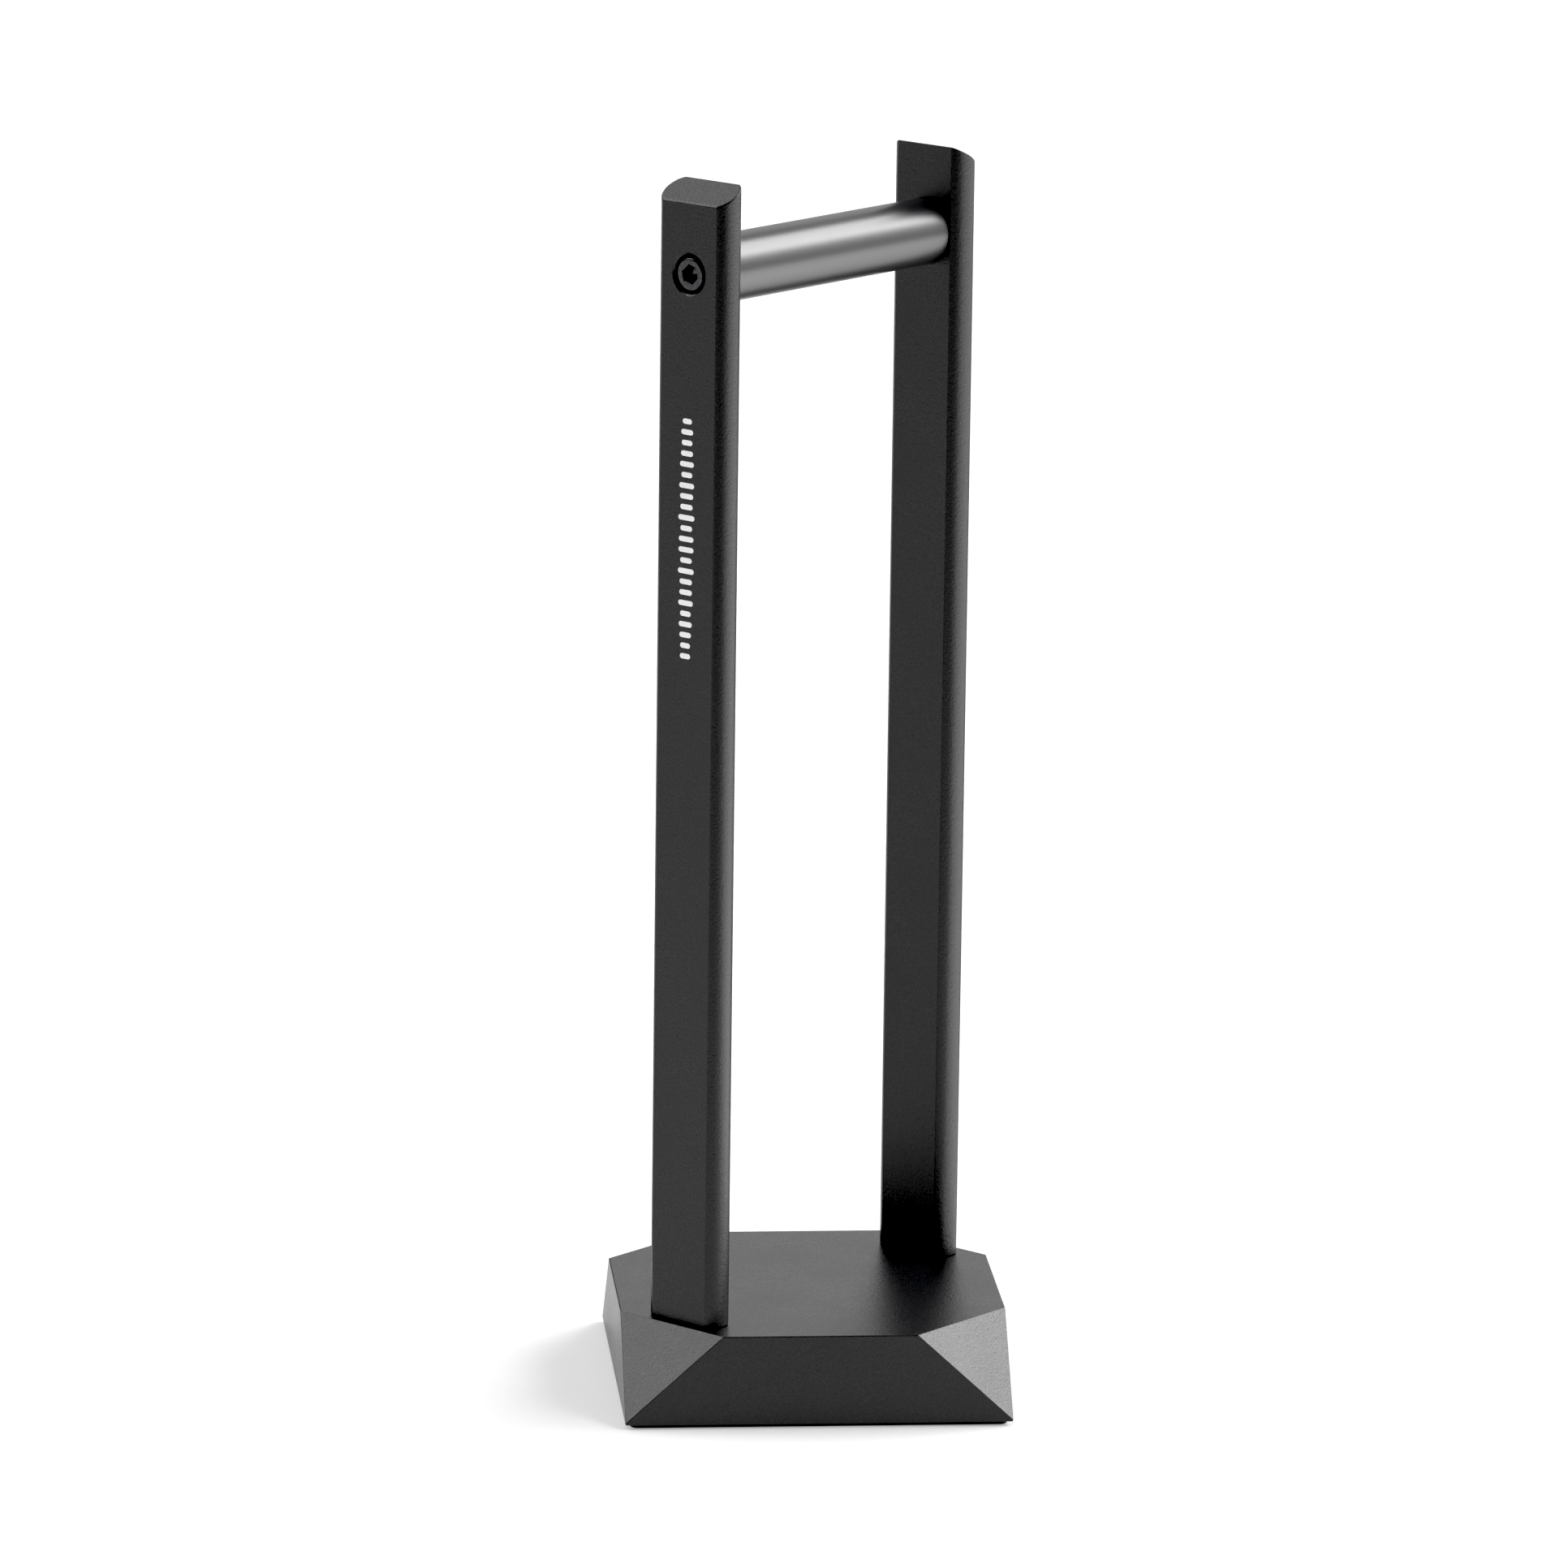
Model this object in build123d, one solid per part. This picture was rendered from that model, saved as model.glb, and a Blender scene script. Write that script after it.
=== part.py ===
from build123d import *
import os
from math import sqrt
from typing import NamedTuple

# Headphone stand with two posts. A square aluminium block with four faceted corners lies on a
# thin rubber pad. Two flat posts with rounded sides stand on one diagonal of the block, and a
# round crossbar near their tops carries the headband. Socket head cap screws hold it together.
#
# Lengths are in millimetres. The origin is the centre of the pad's underside and +Z is up. The
# crossbar runs along X: the front post stands at -X and the rear post at +X. The block is turned
# by 45 degrees, so its corners lie on the X and Y axes.

# Base block
BASE_SIDE = 90.0
BASE_HEIGHT = 21.1
BASE_TURN = 45.0  # degrees about Z
FACET_CUT = 22.5  # length that a corner facet takes off each top edge
FACET_LIP = 0.45  # upright corner edge left below a facet's lowest point
BASE_EDGE_BREAK = 0.25

# Pad under the block
PAD_THICKNESS = 1.0
PAD_INSET = 1.2  # how far the pad stays inside the block's sides
PAD_CORNER_RADIUS = 2.0

# Posts
POST_GAP = 75.0  # between the two inner faces
POST_DEPTH = 8.0
POST_FLAT = 16.0  # width of the flat inner and outer faces
POST_BULGE = 2.5  # how far the rounded sides stand out beyond the flats
STAND_HEIGHT = 289.0  # to the inner edge of a post's sloping top
TOP_DROP = 4.4  # fall of the sloping top from its inner edge to its outer edge
POST_EDGE_BREAK = 0.3

# Crossbar
BAR_DIAMETER = 15.6
BAR_AXIS_HEIGHT = 268.1
BAR_END_CHAMFER = 0.4

# Fastening
BAR_SEAT_DEPTH = 5.25  # of the counterbore in a post's outer face
BASE_SEAT_DEPTH = 6.1  # of the counterbores in the block's underside
POST_SCREW_SPACING = 12.0  # between the two screws in one post's foot
SEAT_RIM_CHAMFER = 0.3
THREAD_CLEARANCE = 0.05  # between a plain shank and its plain tapped hole, radially
TAP_RUN_OUT = 2.0  # depth of a tapped hole beyond the screw's tip


class CapScrew(NamedTuple):
    """Sizes of a socket head cap screw and of the hole that it passes through."""

    thread: float
    length: float
    head: float
    head_height: float
    key: float  # hexagon across its flats
    key_depth: float
    key_turn: float  # degrees from the upright to the nearest corner of the hexagon
    head_chamfer: float
    clearance_hole: float
    counterbore: float


BAR_SCREW = CapScrew(5.0, 16.0, 8.5, 5.0, 4.0, 2.5, 14.0, 0.6, 5.5, 9.2)
POST_SCREW = CapScrew(4.0, 25.0, 7.0, 4.0, 3.0, 2.0, 0.0, 0.4, 4.5, 8.0)

# Derived places
BASE_BOTTOM = PAD_THICKNESS
BASE_TOP = BASE_BOTTOM + BASE_HEIGHT
POST_INNER = POST_GAP / 2
POST_OUTER = POST_INNER + POST_DEPTH
POST_CENTRE = (POST_INNER + POST_OUTER) / 2
POST_HEIGHT = STAND_HEIGHT - BASE_TOP
BAR_SEAT = POST_OUTER - BAR_SEAT_DEPTH  # X where the crossbar screw's head sits
BASE_SEAT = BASE_BOTTOM + BASE_SEAT_DEPTH  # Z where the post screws' heads sit
POST_SCREW_SIDES = {"left": POST_SCREW_SPACING / 2, "right": -POST_SCREW_SPACING / 2}

# How a shape that is modelled on the +X side is turned to reach each post
POST_TURNS = {"front": Rot(0, 0, 180), "rear": Rot(0, 0, 0)}

FROM_BOTTOM = (Align.CENTER, Align.CENTER, Align.MIN)
FROM_TOP = (Align.CENTER, Align.CENTER, Align.MAX)

# A screw is modelled with its head's seat at the origin, its head above and its shank below.
BAR_SCREW_PLACE = Pos(BAR_SEAT, 0, BAR_AXIS_HEIGHT) * Rot(0, 90, 0)


def post_screw_place(y):
    """Place of an upward screw in the block, under the +X post, at a distance y along the foot."""
    return Pos(POST_CENTRE, y, BASE_SEAT) * Rot(180, 0, 0)


def cap_screw(size):
    """A socket head cap screw with a plain shank in place of its thread."""
    head = Cylinder(size.head / 2, size.head_height, align=FROM_BOTTOM)
    head = chamfer(head.edges().group_by(Axis.Z)[-1], size.head_chamfer)
    hexagon = RegularPolygon(size.key / 2, 6, major_radius=False, rotation=size.key_turn)
    socket = Pos(0, 0, size.head_height - size.key_depth) * extrude(hexagon, size.key_depth)
    shank = Cylinder(size.thread / 2 - THREAD_CLEARANCE, size.length, align=FROM_TOP)
    shank = chamfer(shank.edges().group_by(Axis.Z)[0], size.thread / 10)
    return head - socket + shank


def screw_seat(size, depth):
    """The counterbore above a screw's seat, its chamfered rim, and the clearance hole below."""
    bore = size.counterbore / 2
    counterbore = Cylinder(bore, depth, align=FROM_BOTTOM)
    rim = Cone(bore, bore + SEAT_RIM_CHAMFER, SEAT_RIM_CHAMFER, align=FROM_TOP)
    hole = Cylinder(size.clearance_hole / 2, size.length, align=FROM_TOP)
    return counterbore + Pos(0, 0, depth) * rim + hole


def tapped_hole(size):
    """The hole that a screw's shank turns into, with a cone at its end as a drill leaves it."""
    radius = size.thread / 2
    depth = size.length + TAP_RUN_OUT
    drill_tip = Pos(0, 0, -depth) * Cone(0, radius, radius / 2, align=FROM_TOP)
    return Cylinder(radius, depth, align=FROM_TOP) + drill_tip


def corner_facet_plane():
    """The plane of the facet on the +X corner, facing outwards."""
    rise = BASE_HEIGHT - FACET_LIP
    tip = Vector(BASE_SIDE / sqrt(2), 0, BASE_BOTTOM + FACET_LIP)
    return Plane(origin=tip, z_dir=(sqrt(2) * rise, 0, FACET_CUT))


def base_block():
    block = Box(BASE_SIDE, BASE_SIDE, BASE_HEIGHT, align=FROM_BOTTOM)
    block = Pos(0, 0, BASE_BOTTOM) * Rot(0, 0, BASE_TURN) * block
    for _ in range(4):  # one facet, then a quarter turn that brings the next corner to +X
        block = split(block, bisect_by=corner_facet_plane(), keep=Keep.BOTTOM)
        block = Rot(0, 0, 90) * block
    above_bottom = block.edges().filter_by(lambda edge: edge.center().Z > BASE_BOTTOM + FACET_LIP)
    block = chamfer(above_bottom, BASE_EDGE_BREAK)
    for turn in POST_TURNS.values():
        for y in POST_SCREW_SIDES.values():
            block -= turn * post_screw_place(y) * screw_seat(POST_SCREW, BASE_SEAT_DEPTH)
    return block


def base_pad():
    side = BASE_SIDE - 2 * PAD_INSET
    outline = Rot(0, 0, BASE_TURN) * RectangleRounded(side, side, PAD_CORNER_RADIUS)
    return extrude(outline, PAD_THICKNESS)


def post_section():
    """Two flats joined by two arcs, centred on the post's axis."""
    x, y = POST_DEPTH / 2, POST_FLAT / 2
    outline = [
        Line((-x, -y), (-x, y)),
        ThreePointArc((-x, y), (0, y + POST_BULGE), (x, y)),
        Line((x, y), (x, -y)),
        ThreePointArc((x, -y), (0, -y - POST_BULGE), (-x, -y)),
    ]
    return make_face(outline)


def post():
    """The rear post, at +X. The front post is the same piece turned round."""
    body = Pos(POST_CENTRE, 0, BASE_TOP) * extrude(post_section(), POST_HEIGHT)
    slope = Plane(origin=(POST_INNER, 0, STAND_HEIGHT), z_dir=(TOP_DROP, 0, POST_DEPTH))
    body = split(body, bisect_by=slope, keep=Keep.BOTTOM)
    ends = [body.faces().sort_by(Axis.Z)[index] for index in (0, -1)]
    body = chamfer([edge for end in ends for edge in end.edges()], POST_EDGE_BREAK)
    body -= BAR_SCREW_PLACE * screw_seat(BAR_SCREW, BAR_SEAT_DEPTH)
    for y in POST_SCREW_SIDES.values():
        body -= post_screw_place(y) * tapped_hole(POST_SCREW)
    return body


def crossbar():
    bar = Pos(0, 0, BAR_AXIS_HEIGHT) * Rot(0, 90, 0) * Cylinder(BAR_DIAMETER / 2, POST_GAP)
    rims = bar.edges().filter_by(GeomType.CIRCLE)
    bar = chamfer(rims, BAR_END_CHAMFER)
    for turn in POST_TURNS.values():
        bar -= turn * BAR_SCREW_PLACE * tapped_hole(BAR_SCREW)
    return bar


def build_nodes():
    """Every piece of the stand by its node's name."""
    nodes = {"base_block": base_block(), "base_pad": base_pad(), "crossbar": crossbar()}
    for post_name, turn in POST_TURNS.items():
        nodes[f"{post_name}_post"] = turn * post()
        nodes[f"{post_name}_crossbar_screw"] = turn * BAR_SCREW_PLACE * cap_screw(BAR_SCREW)
        for side, y in POST_SCREW_SIDES.items():
            name = f"{post_name}_post_screw_{side}"
            nodes[name] = turn * post_screw_place(y) * cap_screw(POST_SCREW)
    return nodes


os.makedirs("parts", exist_ok=True)
for name, solid in build_nodes().items():
    solid.label = name
    export_step(solid, f"parts/{name}.step")
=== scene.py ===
import itertools
import math
from typing import NamedTuple

import bmesh
import bpy
from mathutils import Matrix, Vector

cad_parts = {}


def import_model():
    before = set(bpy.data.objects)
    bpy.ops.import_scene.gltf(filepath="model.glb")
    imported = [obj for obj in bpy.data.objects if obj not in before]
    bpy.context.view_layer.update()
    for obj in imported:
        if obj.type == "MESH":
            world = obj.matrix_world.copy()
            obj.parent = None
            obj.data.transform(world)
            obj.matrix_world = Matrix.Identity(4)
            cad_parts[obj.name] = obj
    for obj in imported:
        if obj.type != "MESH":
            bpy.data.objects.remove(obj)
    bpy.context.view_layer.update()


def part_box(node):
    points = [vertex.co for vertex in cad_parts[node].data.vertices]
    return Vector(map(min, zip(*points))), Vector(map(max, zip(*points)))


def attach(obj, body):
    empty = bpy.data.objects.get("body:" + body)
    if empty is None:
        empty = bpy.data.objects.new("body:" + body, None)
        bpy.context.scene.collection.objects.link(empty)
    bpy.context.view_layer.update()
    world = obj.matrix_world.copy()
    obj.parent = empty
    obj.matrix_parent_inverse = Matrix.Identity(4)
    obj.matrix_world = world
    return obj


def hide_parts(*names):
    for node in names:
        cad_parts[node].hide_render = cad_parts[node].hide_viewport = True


# The looks of the two-post headphone stand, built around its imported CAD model. Shapes are worked
# out in millimetres in the CAD frame (origin under the pad's centre, +Z up, crossbar along X) and
# turned into metres when a mesh is made. The CAD boxes give every place and outer size.

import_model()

MM = 0.001


def box_mm(node):
    """A CAD node's lowest and highest corners in millimetres."""
    low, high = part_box(node)
    return low / MM, high / MM


class CapScrew(NamedTuple):
    """Sizes of a socket head cap screw and of the hole that it passes through, in millimetres."""

    thread: float
    pitch: float
    length: float
    head: float
    head_height: float
    key: float  # hexagon across its flats
    key_depth: float
    clearance_hole: float
    counterbore: float


# Sizes that the CAD boxes don't tell, as in the CAD model, in millimetres
FACET_CUT = 22.5
FACET_LIP = 0.45
POST_FLAT = 16.0
TOP_DROP = 4.4
BAR_SEAT_DEPTH = 5.25
BASE_SEAT_DEPTH = 6.1
POST_SCREW_SPACING = 12.0
PAD_CORNER_RADIUS = 2.0
TAP_RUN_OUT = 2.0
BAR_SCREW = CapScrew(5.0, 0.8, 16.0, 8.5, 5.0, 4.0, 2.5, 5.5, 9.2)
POST_SCREW = CapScrew(4.0, 0.7, 25.0, 7.0, 4.0, 3.0, 2.0, 4.5, 8.0)
KEY_TURN = 14.0  # degrees from the upright to a corner of the crossbar screw's socket

# Places read from the CAD boxes, in millimetres
POST_LOW, POST_HIGH = box_mm("rear_post")
POST_INNER, POST_OUTER, STAND_HEIGHT = POST_LOW.x, POST_HIGH.x, POST_HIGH.z
POST_DEPTH = POST_OUTER - POST_INNER
POST_CENTRE = (POST_INNER + POST_OUTER) / 2
BAR_AXIS_HEIGHT = (box_mm("crossbar")[0].z + box_mm("crossbar")[1].z) / 2
BASE_SEAT = box_mm("base_block")[0].z + BASE_SEAT_DEPTH
BAR_SCREW_BITE = BAR_SCREW.length - (POST_DEPTH - BAR_SEAT_DEPTH)
POST_SCREW_BITE = POST_SCREW.length - (POST_LOW.z - BASE_SEAT)

# Edge finish, in millimetres
BASE_EDGE = 0.28
POST_EDGE = 0.42
KINK_ROUND = 0.5  # radius of the fold between a post's flat and its rounded side
BAR_EDGE = 0.4
PAD_EDGE = 0.2
RIM_CHAMFER = 0.4
SMOOTH_ANGLE = math.radians(32)

# Screw details, in millimetres
HEAD_FOOT = ((0.35, 0.0), (0.1, 0.2))  # (inset, height) where the head rises from its seat
KNURL_LOW = 0.3  # above the seat
KNURL_HIGH = 1.3  # below the head's top
KNURL_RUN_OUT = 0.15
KNURL_DEPTH = 0.14
HEAD_ROUND = 0.35
HEAD_FACE = 0.81  # the flat face's share of a head's width
KEY_CHAMFER = 0.18
KEY_CHAMFER_DEPTH = 0.22
KEY_FLOOR = 0.3  # radius of the socket's flat floor, as a share of its width across flats
KEY_FLOOR_DROP = 0.1
KEY_POINT_RADIUS = 0.1
KEY_POINT_DROP = 0.5
THREAD_SHAPE = 0.6134  # depth of a metric thread on a screw, as a share of its pitch
THREAD_PLAY = 0.03  # radial, inside the nominal size
TIP_CHAMFER = 0.2
DRILL_POINT = 0.05  # radius that the point of a blind hole is blunted to

# The printed mark on the front post: a column of bars, like a sound level over time, in millimetres
MARK_LOW = 178.7
MARK_HIGH = 235.6
MARK_WIDTH = 4.9
MARK_BARS = 23
MARK_THICKNESS = 0.04
MARK_BEVEL = 0.03
MARK_BAR_SHARE = 0.5  # a bar's share of the height that it has to itself
MARK_RIPPLE = 2.4  # radians of the ripple from one bar to the next

# How finely curves are divided
EDGE_STEPS = 4
KINK_STEPS = 4
ARC_STEPS = 40
CORNER_STEPS = 8
BAR_SEGMENTS = 128
SEAT_SEGMENTS = 96
TAP_SEGMENTS = 64
SCREW_SEGMENTS = 108
THREAD_ROWS = 8  # to each turn of a thread

OVERLAP = 1.0  # millimetres that a cutter stands out of the face that it cuts
NEARLY_PARALLEL = 1e-6  # determinant of three planes' normals that share no corner
NEARLY_TOUCHING = 1e-3  # millimetres
POINT_UP = Matrix.Rotation(math.pi, 4, "X")  # turns a screw made pointing down to point up

# Camera: place in metres, angles in degrees, lens in millimetres on a 36 mm sensor
CAMERA_PLACE = Vector((-1.61135, -1.36021, 0.62508))
CAMERA_AZIMUTH = -49.654
CAMERA_ELEVATION = 12.893
CAMERA_ROLL = 0.731
CAMERA_LENS = 213.57
SENSOR_WIDTH = 36

# Floor
FLOOR_SIZE = 8000.0  # millimetres from its middle to its edge
FLOOR_GAP = 0.05  # millimetres, so that the floor and the pad's underside are two surfaces
FLOOR_GLOW = 0.34

# Softboxes: azimuth from +X towards +Y and elevation in degrees, and radiance (white floor is 1)
LIGHT_WIDTH = math.radians(36)
SOFTBOXES = {
    "right_low": (270, 14, 1.0),
    "right_low_rear": (300, 14, 1.0),
    "rear_low_right": (330, 14, 1.0),
    "rear_low": (0, 14, 1.0),
    "back_low": (30, 14, 0.88),
    "left_low": (120, 14, 0.5),
    "front_low": (210, 14, 0.2),
    "right_high": (270, 38, 0.5),
    "key": (306, 38, 7.0),
    "key_rear": (342, 38, 7.0),
    "back_right": (18, 38, 0.5),
    "back": (54, 38, 0.8),
    "back_left": (90, 38, 2.0),
    "left": (126, 38, 3.8),
    "left_front": (162, 38, 0.2),
    "top_back": (90, 64, 1.2),
    "overhead": (0, 89, 1.4),
}

# Bounce cards that lie round the stand: middle azimuth in degrees, and radiance
CARD_WIDTH = 30  # degrees
CARD_INNER, CARD_OUTER, CARD_LIFT = 120.0, 2200.0, 0.6  # millimetres
BOUNCE_CARDS = {
    "card_right_front": (255, 1.5),
    "card_right": (285, 3.3),
    "card_right_rear": (315, 3.3),
    "card_rear": (345, 1.8),
    "card_back_right": (15, 0.25),
    "card_back": (75, 0.75),
    "card_back_left": (105, 0.4),
    "card_left": (135, 1.2),
}

# The grey card at the camera's side: azimuth in degrees, sizes in millimetres
FLAG_AZIMUTH = 222
FLAG_DISTANCE = 550
FLAG_WIDTH = 620
FLAG_HEIGHT = 320
FLAG_GREY = 0.1
FLAG_GLOW = 0.27

BLACK_LEVEL = 0.0215


# ---------------------------------------------------------------- mesh helpers


def new_piece(name, bm):
    """A mesh object from a bmesh in millimetres."""
    bmesh.ops.recalc_face_normals(bm, faces=bm.faces)
    bmesh.ops.scale(bm, vec=(MM, MM, MM), verts=bm.verts)
    mesh = bpy.data.meshes.new(name)
    bm.to_mesh(mesh)
    bm.free()
    piece = bpy.data.objects.new(name, mesh)
    bpy.context.scene.collection.objects.link(piece)
    return piece


def apply_modifiers(piece):
    """Puts the result of a piece's modifiers into its mesh."""
    graph = bpy.context.evaluated_depsgraph_get()
    mesh = bpy.data.meshes.new_from_object(
        piece.evaluated_get(graph), preserve_all_data_layers=True, depsgraph=graph
    )
    piece.modifiers.clear()
    piece.data = mesh
    mesh.name = piece.name


def carve(piece, cutter):
    """Cuts the cutter's shape out of the piece and deletes the cutter."""
    cut = piece.modifiers.new("carve", "BOOLEAN")
    cut.object = cutter
    cut.operation = "DIFFERENCE"
    cut.solver = "EXACT"
    apply_modifiers(piece)
    bpy.data.objects.remove(cutter)


def shade(piece):
    """Smooth shading that keeps flats flat and folds sharp."""
    piece.data.shade_smooth()
    piece.data.set_sharp_from_angle(angle=SMOOTH_ANGLE)
    weigh = piece.modifiers.new("weigh_normals", "WEIGHTED_NORMAL")
    weigh.keep_sharp = True
    apply_modifiers(piece)


def place(piece, node, material):
    """Finishes a piece that stands for a CAD node."""
    shade(piece)
    piece.data.materials.clear()
    piece.data.materials.append(material)
    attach(piece, "root")
    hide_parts(node)


def loft(bm, rings):
    """Quads between rings of points, with a flat cap on the first and the last ring."""
    rows = [[bm.verts.new(point) for point in ring] for ring in rings]
    for low, high in itertools.pairwise(rows):
        for i in range(len(low)):
            j = (i + 1) % len(low)
            bm.faces.new((low[i], low[j], high[j], high[i]))
    bm.faces.new(rows[0][::-1])
    bm.faces.new(rows[-1])


def polar(angle, distance, height):
    """The point at an angle in radians and a distance from the Z axis."""
    return Vector((distance * math.cos(angle), distance * math.sin(angle), height))


def circle(radius, height, segments):
    return [polar(2 * math.pi * i / segments, radius, height) for i in range(segments)]


def turned(bm, profile, segments, placement):
    """A closed solid of revolution from (radius, height) pairs, put in its place."""
    rings = [circle(radius, height, segments) for radius, height in profile]
    loft(bm, [[placement @ point for point in ring] for ring in rings])


def rounding(radius):
    """(inset, rise) pairs of a rounded edge, from the end face out to the side."""
    angles = [math.pi / 2 * i / EDGE_STEPS for i in range(EDGE_STEPS + 1)]
    return [(radius * (1 - math.sin(a)), radius * (1 - math.cos(a))) for a in angles]


def rounded_ends(low, high, radius):
    """(inset, level) pairs from one end of a solid to the other, with both ends' edges rounded."""
    edge = rounding(radius)
    levels = [(inset, low + rise) for inset, rise in edge]
    return levels + [(inset, high - rise) for inset, rise in reversed(edge)]


def along_bar(x, outward):
    """Puts a screw or a hole on the crossbar's axis, pointing inwards from a place in X."""
    to_axis = Matrix.Translation((x, 0, BAR_AXIS_HEIGHT))
    return to_axis @ Matrix.Rotation(outward * math.pi / 2, 4, "Y")


# ---------------------------------------------------------------- base block


def convex_corners(planes, inset):
    """Where three of the planes meet on the solid that they bound, by their indices."""
    corners = {}
    for trio in itertools.combinations(range(len(planes)), 3):
        normals = Matrix([planes[i][0] for i in trio])
        if abs(normals.determinant()) < NEARLY_PARALLEL:
            continue
        point = normals.inverted() @ Vector([planes[i][1] - inset for i in trio])
        if all(normal.dot(point) < reach - inset + NEARLY_TOUCHING for normal, reach in planes):
            corners[trio] = point
    return corners


def rounded_polyhedron(bm, planes, radius):
    """A convex solid bounded by planes, (normal, distance) pairs, with every edge rounded.

    Each corner joins three faces. It becomes a patch of a ball, spread over the three normals.
    """
    corners = convex_corners(planes, radius)
    made = {}

    def vertex(trio, shares):
        """The ball's vertex in the direction that mixes the planes' normals by their shares."""
        key = (trio, tuple(sorted((plane, share) for plane, share in shares.items() if share)))
        if key not in made:
            mixed = sum((planes[plane][0] * share for plane, share in shares.items()), Vector())
            made[key] = bm.verts.new(corners[trio] + radius * mixed.normalized())
        return made[key]

    def arc(trio, first, second):
        steps = range(EDGE_STEPS + 1)
        return [vertex(trio, {first: EDGE_STEPS - step, second: step}) for step in steps]

    def patch_point(trio, i, j):
        return vertex(trio, dict(zip(trio, (i, j, EDGE_STEPS - i - j))))

    def corner_patch(trio):
        for i in range(EDGE_STEPS):
            for j in range(EDGE_STEPS - i):
                a, b, c = [patch_point(trio, i + di, j + dj) for di, dj in ((0, 0), (1, 0), (0, 1))]
                bm.faces.new((a, b, c))
                if i + j < EDGE_STEPS - 1:
                    bm.faces.new((b, patch_point(trio, i + 1, j + 1), c))

    def edge_strip(first, second):
        ends = [trio for trio in corners if first in trio and second in trio]
        if len(ends) == 2:
            near, far = [arc(trio, first, second) for trio in ends]
            for step in range(EDGE_STEPS):
                bm.faces.new((near[step], near[step + 1], far[step + 1], far[step]))

    def flat_face(index, normal):
        own = [trio for trio in corners if index in trio]
        middle = sum((corners[trio] for trio in own), Vector()) / len(own)
        across = (corners[own[0]] - middle).normalized()
        along = normal.cross(across)

        def angle_round(trio):
            arm = corners[trio] - middle
            return math.atan2(arm.dot(along), arm.dot(across))

        own.sort(key=angle_round)
        bm.faces.new([vertex(trio, {index: EDGE_STEPS}) for trio in own])

    for trio in corners:
        corner_patch(trio)
    for first, second in itertools.combinations(range(len(planes)), 2):
        edge_strip(first, second)
    for index, (normal, _) in enumerate(planes):
        flat_face(index, normal)


def base_block(material):
    """The faceted block, with a counterbored hole for each of the posts' screws."""
    low, high = box_mm("base_block")
    corner = high.x  # the block's corners lie on the X and Y axes
    rise = high.z - low.z - FACET_LIP
    facet = Vector((math.sqrt(2) * rise, 0, FACET_CUT)).normalized()
    tip = Vector((corner, 0, low.z + FACET_LIP))
    side = Vector((1, 1, 0)).normalized()
    up = Vector((0, 0, 1))
    planes = [(up, high.z), (-up, -low.z)]
    for quarter in range(4):
        turn = Matrix.Rotation(math.radians(90 * quarter), 3, "Z")
        planes.append((turn @ facet, facet.dot(tip)))
        planes.append((turn @ side, corner / math.sqrt(2)))
    bm = bmesh.new()
    rounded_polyhedron(bm, planes, BASE_EDGE)
    piece = new_piece("base_block_body", bm)
    holes = bmesh.new()
    for x, y in post_screw_places():
        mouth = Matrix.Translation((x, y, low.z)) @ POINT_UP
        seat_cutter(holes, POST_SCREW, BASE_SEAT_DEPTH, mouth)
    carve(piece, new_piece("base_block_holes", holes))
    place(piece, "base_block", material)


# ---------------------------------------------------------------- pad


def rounded_square(half_side, radius, height):
    """A square with rounded corners, turned so that its corners lie on the X and Y axes."""
    reach = math.sqrt(2) * (half_side - radius)
    points = []
    for quarter in range(4):
        towards = math.radians(90 * quarter)
        centre = polar(towards, reach, height)
        for step in range(CORNER_STEPS + 1):
            angle = towards + math.radians(-45 + 90 * step / CORNER_STEPS)
            points.append(centre + polar(angle, radius, 0))
    return points


def base_pad(material):
    low, high = box_mm("base_pad")
    half_side = (high.x + (math.sqrt(2) - 1) * PAD_CORNER_RADIUS) / math.sqrt(2)
    rings = []
    for inset, height in rounded_ends(low.z, high.z, PAD_EDGE):
        rings.append(rounded_square(half_side - inset, PAD_CORNER_RADIUS - inset, height))
    bm = bmesh.new()
    loft(bm, rings)
    place(new_piece("base_pad_sheet", bm), "base_pad", material)


# ---------------------------------------------------------------- posts


def post_outline(depth, width, inset):
    """The post's section moved inwards by inset: two flats, two arcs, a small round at each kink."""
    half_depth, half_flat = depth / 2, POST_FLAT / 2
    bulge = width / 2 - half_flat
    radius = (half_depth**2 + bulge**2) / (2 * bulge)
    arc_y = half_flat + bulge - radius
    kink_x = half_depth - KINK_ROUND
    kink_y = arc_y + math.sqrt((radius - KINK_ROUND) ** 2 - kink_x**2)
    kink_angle = math.atan2(kink_x, kink_y - arc_y)
    half = []
    for step in range(KINK_STEPS + 1):
        angle = math.pi / 2 + (kink_angle - math.pi / 2) * step / KINK_STEPS
        half.append((kink_x, kink_y, KINK_ROUND - inset, angle))
    for step in range(1, ARC_STEPS):
        angle = kink_angle - 2 * kink_angle * step / ARC_STEPS
        half.append((0, arc_y, radius - inset, angle))
    for step in range(KINK_STEPS + 1):
        angle = -kink_angle + (kink_angle - math.pi / 2) * step / KINK_STEPS
        half.append((-kink_x, kink_y, KINK_ROUND - inset, angle))
    side = [(x + r * math.sin(a), y + r * math.cos(a)) for x, y, r, a in half]
    return side + [(-x, -y) for x, y in side]


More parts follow.
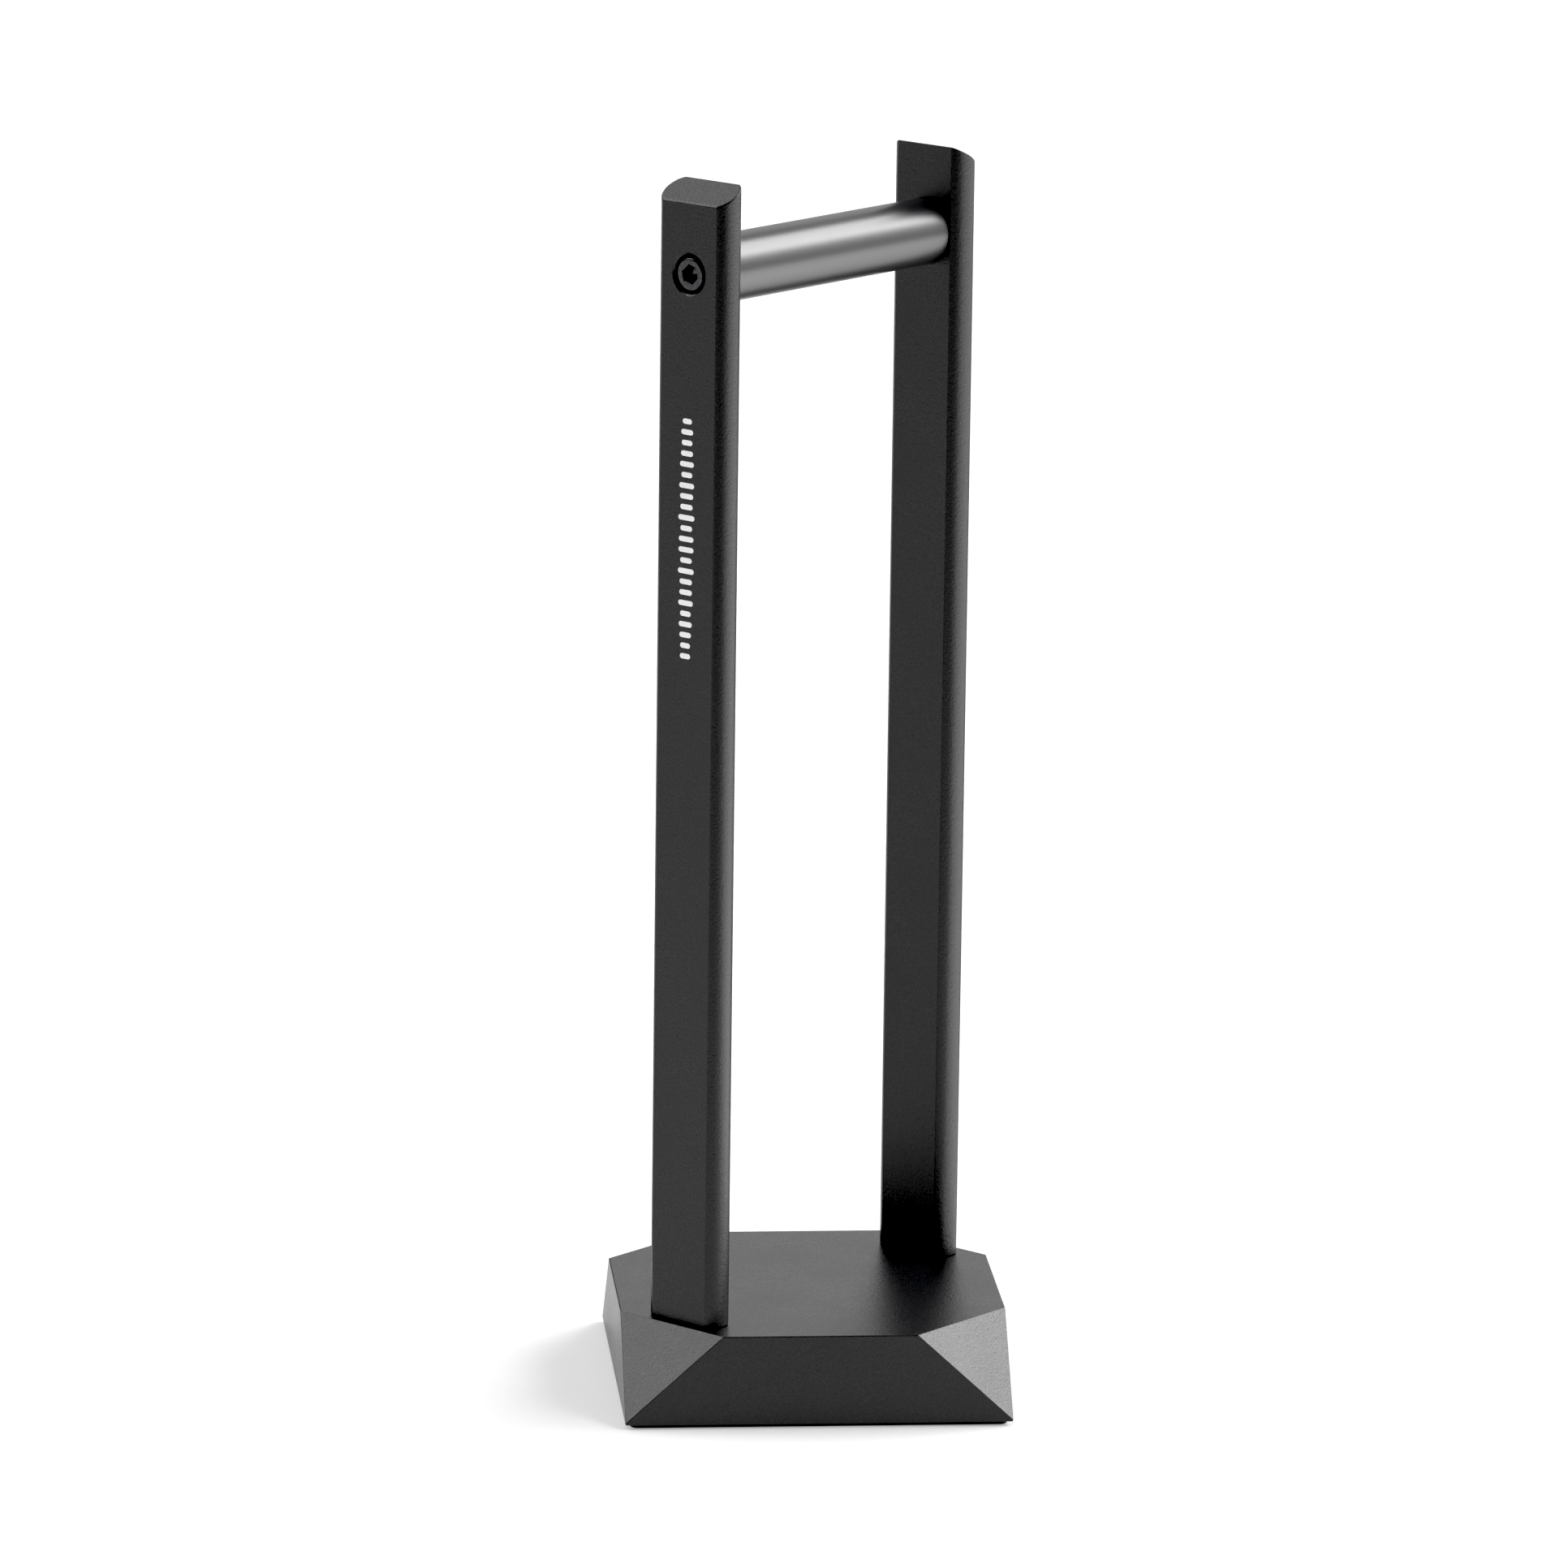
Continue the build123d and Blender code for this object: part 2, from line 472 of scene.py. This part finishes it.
def post(name, material):
    """A post with its sloping top, its seat for the crossbar screw and its two tapped holes."""
    low, high = box_mm(name)
    depth, width = high.x - low.x, high.y - low.y
    centre = (low.x + high.x) / 2
    outward = math.copysign(1, centre)

    def top_height(x):
        return STAND_HEIGHT - (x * outward + depth / 2) * TOP_DROP / depth

    edge = rounding(POST_EDGE)
    rings = []
    for inset, rise in edge:
        outline = post_outline(depth, width, inset)
        rings.append([Vector((centre + x, y, low.z + rise)) for x, y in outline])
    for inset, rise in reversed(edge):
        outline = post_outline(depth, width, inset)
        rings.append([Vector((centre + x, y, top_height(x) - rise)) for x, y in outline])
    bm = bmesh.new()
    loft(bm, rings)
    piece = new_piece(name + "_bar", bm)
    holes = bmesh.new()
    outer_face = along_bar(outward * (abs(centre) + depth / 2), outward)
    seat_cutter(holes, BAR_SCREW, BAR_SEAT_DEPTH, outer_face)
    for x, y in post_screw_places():
        if x * outward > 0:
            foot = Matrix.Translation((x, y, low.z)) @ POINT_UP
            tapped_cutter(holes, POST_SCREW, POST_SCREW_BITE + TAP_RUN_OUT, foot)
    carve(piece, new_piece(name + "_holes", holes))
    place(piece, name, material)


# ---------------------------------------------------------------- crossbar


def crossbar(material):
    """The round bar, with a tapped hole in each end."""
    low, high = box_mm("crossbar")
    radius = (high.z - low.z) / 2
    profile = [(radius - inset, x) for inset, x in rounded_ends(low.x, high.x, BAR_EDGE)]
    bm = bmesh.new()
    turned(bm, profile, BAR_SEGMENTS, along_bar(0, 1))
    piece = new_piece("crossbar_rod", bm)
    holes = bmesh.new()
    for outward in (-1, 1):
        end = along_bar(outward * high.x, outward)
        tapped_cutter(holes, BAR_SCREW, BAR_SCREW_BITE + TAP_RUN_OUT, end)
    carve(piece, new_piece("crossbar_holes", holes))
    place(piece, "crossbar", material)


# ---------------------------------------------------------------- screws and their holes

# A screw and its hole are made with the hole's mouth or the head's seat at the origin and the
# shank pointing along -Z.


def seat_cutter(bm, screw, depth, placement):
    """Counterbore with a chamfered rim, and the clearance hole that runs on through the part."""
    bore, hole = screw.counterbore / 2, screw.clearance_hole / 2
    profile = [
        (bore + RIM_CHAMFER + OVERLAP, OVERLAP),
        (bore, -RIM_CHAMFER),
        (bore, -depth),
        (hole, -depth),
        (hole, -depth - screw.length),
    ]
    turned(bm, profile, SEAT_SEGMENTS, placement)


def tapped_cutter(bm, screw, depth, placement):
    """Blind hole with a chamfered mouth and a drill's pointed end."""
    radius = screw.thread / 2
    profile = [
        (radius + RIM_CHAMFER + OVERLAP, OVERLAP),
        (radius, -RIM_CHAMFER),
        (radius, -depth),
        (DRILL_POINT, -depth - radius / 2),
    ]
    turned(bm, profile, TAP_SEGMENTS, placement)


def post_screw_places():
    """X and Y of the four screws that come up through the block into the posts' feet."""
    half = POST_SCREW_SPACING / 2
    return list(itertools.product((-POST_CENTRE, POST_CENTRE), (half, -half)))


def hexagon(flats, height, turn):
    """Points round a hexagon, as many as on the circles that it is lofted to."""
    points = []
    for i in range(SCREW_SEGMENTS):
        angle = 2 * math.pi * i / SCREW_SEGMENTS
        from_flat = (angle - turn) % (math.pi / 3) - math.pi / 6
        points.append(polar(angle, flats / 2 / math.cos(from_flat), height))
    return points


def knurled(radius, height):
    """A ring with straight knurling: a groove every three segments."""
    points = circle(radius, height, SCREW_SEGMENTS)
    for point in points[::3]:
        point.xy *= 1 - KNURL_DEPTH / radius
    return points


def threaded_ring(screw, height):
    """A ring of the shank at a height below the seat, with a single-start V thread."""
    nominal = screw.thread / 2 - THREAD_PLAY
    to_tip = (screw.length + height) / screw.pitch
    point_inset = (1 - min(1, max(0, to_tip))) * 0.25 * screw.pitch
    points = []
    for i in range(SCREW_SEGMENTS):
        turn = i / SCREW_SEGMENTS
        phase = (height / screw.pitch - turn) % 1
        groove = THREAD_SHAPE * screw.pitch * abs(2 * phase - 1)
        points.append(polar(2 * math.pi * turn, nominal - groove - point_inset, height))
    return points


def shank_rings(screw):
    """Rings from the screw's tip up to its head's seat."""
    minor = screw.thread / 2 - 0.7 * screw.pitch
    rings = [circle(minor - TIP_CHAMFER, -screw.length, SCREW_SEGMENTS)]
    rows = int(screw.length / screw.pitch * THREAD_ROWS)
    for row in range(1, rows + 1):
        rings.append(threaded_ring(screw, -screw.length + screw.length * row / rows))
    return rings


def head_rings(screw):
    """Rings from the head's seat up its knurled side to the edge of its flat face."""
    radius, top = screw.head / 2, screw.head_height
    rings = [circle(radius - inset, height, SCREW_SEGMENTS) for inset, height in HEAD_FOOT]
    rings.append(knurled(radius, KNURL_LOW))
    rings.append(knurled(radius, top - KNURL_HIGH))
    knurl_end = top - KNURL_HIGH + KNURL_RUN_OUT
    rings.append(circle(radius - KNURL_DEPTH, knurl_end, SCREW_SEGMENTS))
    for inset, rise in reversed(rounding(HEAD_ROUND)):
        rings.append(circle(radius * HEAD_FACE + HEAD_ROUND - inset, top - rise, SCREW_SEGMENTS))
    return rings


def socket_rings(screw, turn):
    """Rings from the socket's chamfered mouth down to the point of its floor."""
    top, bottom = screw.head_height, screw.head_height - screw.key_depth
    return [
        hexagon(screw.key + 2 * KEY_CHAMFER, top, turn),
        hexagon(screw.key, top - KEY_CHAMFER_DEPTH, turn),
        hexagon(screw.key, bottom, turn),
        circle(screw.key * KEY_FLOOR, bottom - KEY_FLOOR_DROP, SCREW_SEGMENTS),
        circle(KEY_POINT_RADIUS, bottom - KEY_POINT_DROP, SCREW_SEGMENTS),
    ]


def cap_screw(name, node, screw, placement, key_turn, material):
    """A socket head cap screw: knurled head, hexagon socket and a real thread."""
    rings = shank_rings(screw) + head_rings(screw) + socket_rings(screw, math.radians(key_turn))
    bm = bmesh.new()
    loft(bm, [[placement @ point for point in ring] for ring in rings])
    place(new_piece(name, bm), node, material)


def screws(material):
    for post_name, outward in (("front", -1), ("rear", 1)):
        seat = along_bar(outward * (POST_OUTER - BAR_SEAT_DEPTH), outward)
        node = f"{post_name}_crossbar_screw"
        cap_screw(node + "_m5", node, BAR_SCREW, seat, KEY_TURN, material)
        to_post = Matrix.Rotation(math.pi if outward < 0 else 0, 4, "Z")
        for side, y in (("left", POST_SCREW_SPACING / 2), ("right", -POST_SCREW_SPACING / 2)):
            seat = to_post @ Matrix.Translation((POST_CENTRE, y, BASE_SEAT)) @ POINT_UP
            node = f"{post_name}_post_screw_{side}"
            cap_screw(node + "_m4", node, POST_SCREW, seat, 0, material)


# ---------------------------------------------------------------- printed mark


def bar_outline(half_width, half_height, grow, x, z):
    """A bar with round ends on the post's outer face, grown all round by grow."""
    radius = half_height + grow
    points = []
    for end in (1, -1):
        for step in range(CORNER_STEPS + 1):
            angle = math.radians(-90 + 180 * step / CORNER_STEPS) + (math.pi if end < 0 else 0)
            across = end * (half_width - half_height) + radius * math.cos(angle)
            points.append(Vector((x, -across, z + radius * math.sin(angle))))
    return points


def mark(material):
    """Rounded ink bars across the front post's outer face, long and short like a sound wave."""
    bm = bmesh.new()
    pitch = (MARK_HIGH - MARK_LOW) / MARK_BARS
    half_height = pitch * MARK_BAR_SHARE / 2
    for index in range(MARK_BARS):
        swell = math.sqrt(math.sin(math.pi * (index + 0.5) / MARK_BARS))
        ripple = 0.5 + 0.5 * math.cos(index * MARK_RIPPLE)
        half_width = MARK_WIDTH / 2 * (0.5 + 0.5 * swell * (0.4 + 0.6 * ripple))
        middle = MARK_LOW + pitch * (index + 0.5)
        rings = []
        for depth, grow in (
            (0, 0),
            (MARK_THICKNESS * 0.7, 0),
            (MARK_THICKNESS, -MARK_BEVEL),
        ):
            rings.append(bar_outline(half_width, half_height, grow, -POST_OUTER - depth, middle))
        loft(bm, rings)
    piece = new_piece("front_post_level_mark", bm)
    shade(piece)
    piece.data.materials.append(material)
    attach(piece, "root")


# ---------------------------------------------------------------- materials


def grey(value, blue=0.0):
    """A grey with a little extra blue."""
    return value, value, value + blue


class Finish:
    """A material under construction, with its patterns fixed to the object."""

    def __init__(self, name):
        self.material = bpy.data.materials.new(name)
        self.material.use_nodes = True
        self.nodes = self.material.node_tree.nodes
        self.links = self.material.node_tree.links
        self.shader = self.nodes["Principled BSDF"]
        self.where = self.nodes.new("ShaderNodeTexCoord").outputs["Object"]

    def set(self, **values):
        """Gives the shader's own sockets values that are the same all over."""
        for socket, value in values.items():
            self.shader.inputs[socket.replace("_", " ")].default_value = value

    def plug(self, output, socket):
        self.links.new(output, self.shader.inputs[socket])

    def noise(self, scale, detail, roughness, where=None):
        node = self.nodes.new("ShaderNodeTexNoise")
        node.inputs["Scale"].default_value = scale
        node.inputs["Detail"].default_value = detail
        node.inputs["Roughness"].default_value = roughness
        self.links.new(where or self.where, node.inputs["Vector"])
        return node.outputs["Fac"]

    def stretch(self, scale):
        """The object's coordinates, scaled along each axis."""
        node = self.nodes.new("ShaderNodeMapping")
        node.inputs["Scale"].default_value = scale
        self.links.new(self.where, node.inputs["Vector"])
        return node.outputs["Vector"]

    def spread(self, value, low, high, from_low=0.3, from_high=0.7):
        node = self.nodes.new("ShaderNodeMapRange")
        node.inputs["From Min"].default_value = from_low
        node.inputs["From Max"].default_value = from_high
        node.inputs["To Min"].default_value = low
        node.inputs["To Max"].default_value = high
        self.links.new(value, node.inputs["Value"])
        return node.outputs["Result"]

    def add(self, first, second):
        node = self.nodes.new("ShaderNodeMath")
        node.operation = "ADD"
        self.links.new(first, node.inputs[0])
        self.links.new(second, node.inputs[1])
        return node.outputs[0]

    def tint(self, share, dark, light):
        """A colour that goes from dark to light as the share goes from 0 to 1."""
        node = self.nodes.new("ShaderNodeMix")
        node.data_type = "RGBA"
        node.inputs["A"].default_value = (*dark, 1)
        node.inputs["B"].default_value = (*light, 1)
        self.links.new(share, node.inputs["Factor"])
        return node.outputs["Result"]

    def bump(self, height, strength, distance, under=None):
        """A normal for a bump of so many metres, on top of the bump under it."""
        node = self.nodes.new("ShaderNodeBump")
        node.inputs["Strength"].default_value = strength
        node.inputs["Distance"].default_value = distance
        self.links.new(height, node.inputs["Height"])
        if under is not None:
            self.links.new(under, node.inputs["Normal"])
        return node.outputs["Normal"]


def blasted_aluminium():
    """Bead-blasted and black-anodised: a fine even grain that sparkles where the light changes."""
    finish = Finish("black_blasted_aluminium")
    grain = finish.noise(scale=1800, detail=3, roughness=0.65)
    fleck = finish.noise(scale=2400, detail=2, roughness=0.6)
    cloud = finish.noise(scale=60, detail=3, roughness=0.5)
    flecks = finish.spread(fleck, 0, 1, from_low=0.42, from_high=0.72)
    finish.set(IOR=1.54)
    finish.plug(finish.tint(flecks, grey(0.001, 0.0007), grey(0.01, 0.0015)), "Base Color")
    roughness = finish.add(finish.spread(grain, 0.26, 0.34), finish.spread(cloud, -0.015, 0.015))
    finish.plug(roughness, "Roughness")
    finish.plug(finish.bump(grain, strength=0.9, distance=0.00011), "Normal")
    return finish.material


def turned_aluminium():
    """The crossbar: finer anodising over faint lathe rings."""
    finish = Finish("black_turned_aluminium")
    lathe = finish.stretch((1, 0.02, 0.02))
    rings = finish.noise(scale=5200, detail=1, roughness=0.5, where=lathe)
    grain = finish.noise(scale=4500, detail=2, roughness=0.5)
    dye = finish.tint(finish.spread(grain, 0, 1), grey(0.008, 0.001), grey(0.014, 0.002))
    finish.set(IOR=1.8)
    finish.plug(dye, "Base Color")
    finish.plug(finish.spread(grain, 0.3, 0.38), "Roughness")
    ringed = finish.bump(rings, strength=0.25, distance=0.00003)
    finish.plug(finish.bump(grain, strength=0.2, distance=0.00002, under=ringed), "Normal")
    return finish.material


def black_oxide_steel():
    """The screws: dark oxide that is a little worn and oily, so their edges glint."""
    finish = Finish("black_oxide_steel")
    wear = finish.noise(scale=900, detail=4, roughness=0.6)
    fine = finish.noise(scale=5000, detail=2, roughness=0.5)
    worn = finish.spread(wear, 0, 1, from_low=0.4, from_high=0.75)
    finish.set(Metallic=1.0)
    finish.plug(finish.tint(worn, grey(0.06, 0.003), grey(0.1, 0.004)), "Base Color")
    finish.plug(finish.spread(wear, 0.1, 0.24), "Roughness")
    finish.plug(finish.bump(fine, strength=0.25, distance=0.00002), "Normal")
    return finish.material


def pad_rubber():
    """Matt rubber with a fine pebbled skin."""
    finish = Finish("black_rubber")
    pebble = finish.noise(scale=1800, detail=3, roughness=0.6)
    colour = finish.tint(finish.spread(pebble, 0, 1), (0.008, 0.006, 0.0065), (0.02, 0.016, 0.017))
    finish.plug(colour, "Base Color")
    finish.plug(finish.spread(pebble, 0.65, 0.9), "Roughness")
    finish.plug(finish.bump(pebble, strength=0.6, distance=0.0001), "Normal")
    return finish.material


def marking_ink():
    """Screen-printed white ink, slightly uneven."""
    finish = Finish("white_ink")
    mottle = finish.noise(scale=3000, detail=3, roughness=0.6)
    finish.plug(finish.tint(finish.spread(mottle, 0, 1), grey(0.88), grey(0.96)), "Base Color")
    finish.plug(finish.spread(mottle, 0.4, 0.55), "Roughness")
    finish.plug(finish.bump(mottle, strength=0.3, distance=0.00003), "Normal")
    return finish.material


# ---------------------------------------------------------------- floor, light and camera


def floor():
    """A pale floor that glows a little, as a lit table does, so its shadows stay soft."""
    bm = bmesh.new()
    bmesh.ops.create_grid(bm, x_segments=8, y_segments=8, size=FLOOR_SIZE)
    piece = new_piece("floor", bm)
    piece.location.z = -FLOOR_GAP * MM
    finish = Finish("pale_floor")
    cloud = finish.noise(scale=3, detail=2, roughness=0.5)
    finish.plug(finish.tint(cloud, grey(0.55), grey(0.57)), "Base Color")
    finish.set(
        Roughness=0.8,
        Specular_IOR_Level=0.0,
        Emission_Color=(1, 1, 1, 1),
        Emission_Strength=FLOOR_GLOW,
    )
    piece.data.materials.append(finish.material)


def softboxes():
    """Round softboxes so far away that they light the floor evenly, each LIGHT_WIDTH wide."""
    for name, (azimuth, elevation, radiance) in SOFTBOXES.items():
        light = bpy.data.lights.new(name, "SUN")
        light.angle = LIGHT_WIDTH
        light.energy = radiance * math.pi * math.sin(LIGHT_WIDTH / 2) ** 2
        lamp = bpy.data.objects.new(name, light)
        bpy.context.scene.collection.objects.link(lamp)
        lamp.rotation_euler = (math.radians(90 - elevation), 0, math.radians(90 + azimuth))


def reflected_card(name, corners, value, glow):
    """A glowing card that only reflections see: it lights nothing and casts no shadow."""
    bm = bmesh.new()
    bm.faces.new([bm.verts.new(corner) for corner in corners])
    card = new_piece(name, bm)
    card.visible_camera = False
    card.visible_diffuse = False
    card.visible_shadow = False
    finish = Finish(name + "_card")
    finish.set(
        Base_Color=(*grey(value), 1),
        Emission_Color=(1, 1, 1, 1),
        Emission_Strength=glow,
        Roughness=1.0,
        Specular_IOR_Level=0.0,
    )
    card.data.materials.append(finish.material)


def flag():
    """An upright grey card at the camera's side, as dim as the room there."""
    azimuth = math.radians(FLAG_AZIMUTH)
    middle = polar(azimuth, FLAG_DISTANCE, 0)
    half = polar(azimuth + math.pi / 2, FLAG_WIDTH / 2, 0)
    up = Vector((0, 0, FLAG_HEIGHT))
    corners = [middle - half, middle + half, middle + half + up, middle - half + up]
    reflected_card("front_flag", corners, FLAG_GREY, FLAG_GLOW)


def bounce_cards():
    """Sectors of card on the floor, bright or dim, which the upright faces reflect."""
    for name, (azimuth, radiance) in BOUNCE_CARDS.items():
        angles = [math.radians(azimuth + CARD_WIDTH / 2 * turn) for turn in (-1, 0, 1)]
        outer = [polar(angle, CARD_OUTER, CARD_LIFT) for angle in angles]
        inner = [polar(angle, CARD_INNER, CARD_LIFT) for angle in reversed(angles)]
        reflected_card(name, outer + inner, 0.0, radiance)


def world():
    """White behind everything that the camera sees past the floor, and no light of its own."""
    sky = bpy.data.worlds.new("studio")
    sky.use_nodes = True
    bpy.context.scene.world = sky
    sky.node_tree.nodes["Background"].inputs["Color"].default_value = (1, 1, 1, 1)
    for ray in ("diffuse", "glossy", "transmission", "scatter"):
        setattr(sky.cycles_visibility, ray, False)


def tone():
    """The deep blacks of a product picture: everything below the black level goes to black."""
    view = bpy.context.scene.view_settings
    view.view_transform = "Standard"
    view.use_curve_mapping = True
    view.curve_mapping.black_level = [BLACK_LEVEL] * 3
    view.curve_mapping.update()


def camera():
    lens = bpy.data.cameras.new("camera")
    lens.sensor_width = SENSOR_WIDTH
    lens.lens = CAMERA_LENS
    lens.clip_start = 0.05
    lens.clip_end = 50
    eye = bpy.data.objects.new("camera", lens)
    bpy.context.scene.collection.objects.link(eye)
    azimuth, elevation = math.radians(CAMERA_AZIMUTH), math.radians(CAMERA_ELEVATION)
    back = polar(azimuth - math.pi / 2, math.cos(elevation), math.sin(elevation))
    right = polar(azimuth, 1, 0)
    axes = Matrix((right, back.cross(right), back)).transposed()
    turn = axes @ Matrix.Rotation(math.radians(CAMERA_ROLL), 3, "Z")
    eye.rotation_mode = "QUATERNION"
    eye.rotation_quaternion = turn.to_quaternion()
    eye.location = CAMERA_PLACE
    bpy.context.scene.camera = eye


# ---------------------------------------------------------------- the whole scene

blasted = blasted_aluminium()
base_block(blasted)
base_pad(pad_rubber())
post("front_post", blasted)
post("rear_post", blasted)
crossbar(turned_aluminium())
screws(black_oxide_steel())
mark(marking_ink())

floor()
flag()
bounce_cards()
world()
softboxes()
tone()
camera()
